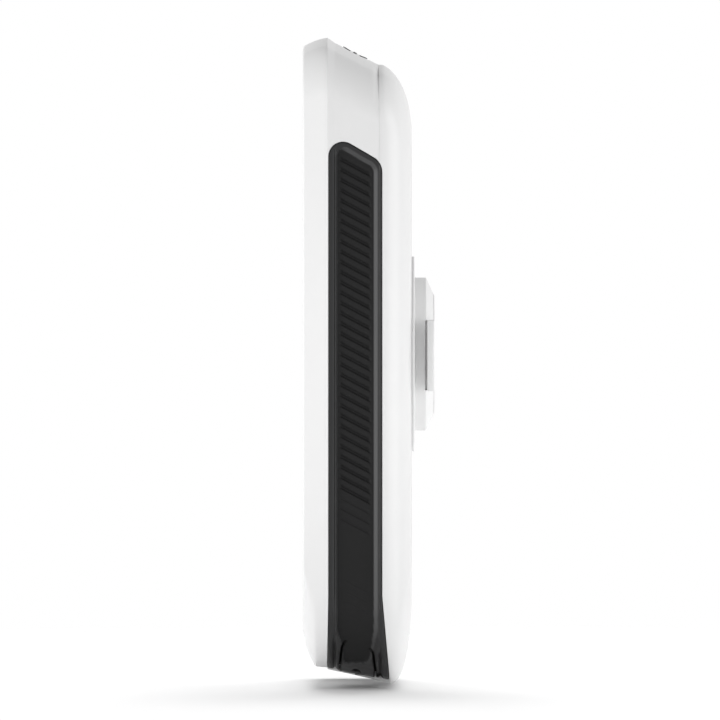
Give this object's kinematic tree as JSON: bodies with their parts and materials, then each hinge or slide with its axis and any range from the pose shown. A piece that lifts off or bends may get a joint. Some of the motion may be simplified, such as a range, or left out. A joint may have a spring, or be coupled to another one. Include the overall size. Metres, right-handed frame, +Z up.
{
  "type": "cycling computer",
  "caption": "Handlebar head unit with a touch screen, rubber side grips, three push keys, a hinged port cap and a quarter-turn mount on its back.",
  "frame": {"origin": "centre of the outer face of the quarter-turn mount on the back", "axes": "+X to the rider's right facing the screen, +Y out of the back, along the mount's axis, +Z up along the screen, towards the power key"},
  "size_m": [0.055, 0.0213, 0.105],
  "materials": {
    "white_case": "fine satin moulded polycarbonate, near white",
    "grip_rubber": "black overmoulded rubber, matt, fine grain",
    "mount_plastic": "light grey glass-filled nylon, satin",
    "cover_glass": "black-backed cover glass, polished",
    "display_glass": "switched-off display, dark and neutral",
    "diffuser": "white diffuser film stack",
    "black_foam": "die-cut black foam",
    "silicone": "grey silicone rubber",
    "circuit_board": "green solder mask",
    "switch_black": "black moulded nylon",
    "steel": "zinc-plated steel",
    "chassis_metal": "die-cast, bead-blasted",
    "shield_metal": "tinned sheet",
    "brass": "plain brass",
    "flex_amber": "amber polyimide film",
    "cell_wrap": "plain grey wrap of a pouch cell",
    "connector_ivory": "ivory moulded nylon"
  },
  "bodies": {
    "case": {"front_frame": "white_case", "centre_frame": "white_case", "rear_housing": "white_case", "side_grip_left": "grip_rubber", "side_grip_right": "grip_rubber", "mount_insert": "mount_plastic", "cover_lens": "cover_glass", "touch_panel": "display_glass", "display_panel": "display_glass", "backlight": "diffuser", "lens_gasket": "black_foam", "battery_pad": "black_foam", "battery_lead": "black_foam", "case_seal": "silicone", "mount_seal": "silicone", "key_membrane": "silicone", "main_board": "circuit_board", "key_board": "circuit_board", "power_board": "circuit_board", "case_screw_1": "steel", "case_screw_2": "steel", "case_screw_3": "steel", "case_screw_4": "steel", "mount_screw_1": "steel", "mount_screw_2": "steel", "mount_screw_3": "steel", "mount_screw_4": "steel", "usb_connector": "steel", "lap_switch": "steel", "start_switch": "steel", "power_switch": "steel", "mid_chassis": "chassis_metal", "processor_shield": "shield_metal", "radio_shield": "shield_metal", "buzzer": "brass", "display_flex": "flex_amber", "battery": "cell_wrap", "battery_socket": "connector_ivory", "gps_antenna": "connector_ivory"},
    "power_button": {"power_key": "white_case", "power_switch_plunger": "switch_black"},
    "lap_button": {"lap_key": "white_case", "lap_switch_plunger": "switch_black"},
    "start_button": {"start_key": "white_case", "start_switch_plunger": "switch_black"},
    "cap": {"weather_cap": "grip_rubber"}
  },
  "joints": [
    {"name": "power_key_press", "type": "slide", "parent": "case", "child": "power_button", "axis": [0, -0.4493, -0.8934], "range_m": [0, 0.0004], "stiffness_N_per_m": 1000, "springref_m": -0.0004},
    {"name": "lap_key_press", "type": "slide", "parent": "case", "child": "lap_button", "axis": [0, 1, 0], "range_m": [0, 0.00035], "stiffness_N_per_m": 1000, "springref_m": -0.0004},
    {"name": "start_key_press", "type": "slide", "parent": "case", "child": "start_button", "axis": [0, 1, 0], "range_m": [0, 0.00035], "stiffness_N_per_m": 1000, "springref_m": -0.0004},
    {"name": "weather_cap_hinge", "type": "hinge", "parent": "case", "child": "cap", "pos_m": [0.02463, -0.01235, -0.04725], "axis": [0, -0.9532, 0.3022], "range_deg": [0, 115], "stiffness_Nm_per_rad": 0.002, "springref_deg": -17.19}
  ]
}
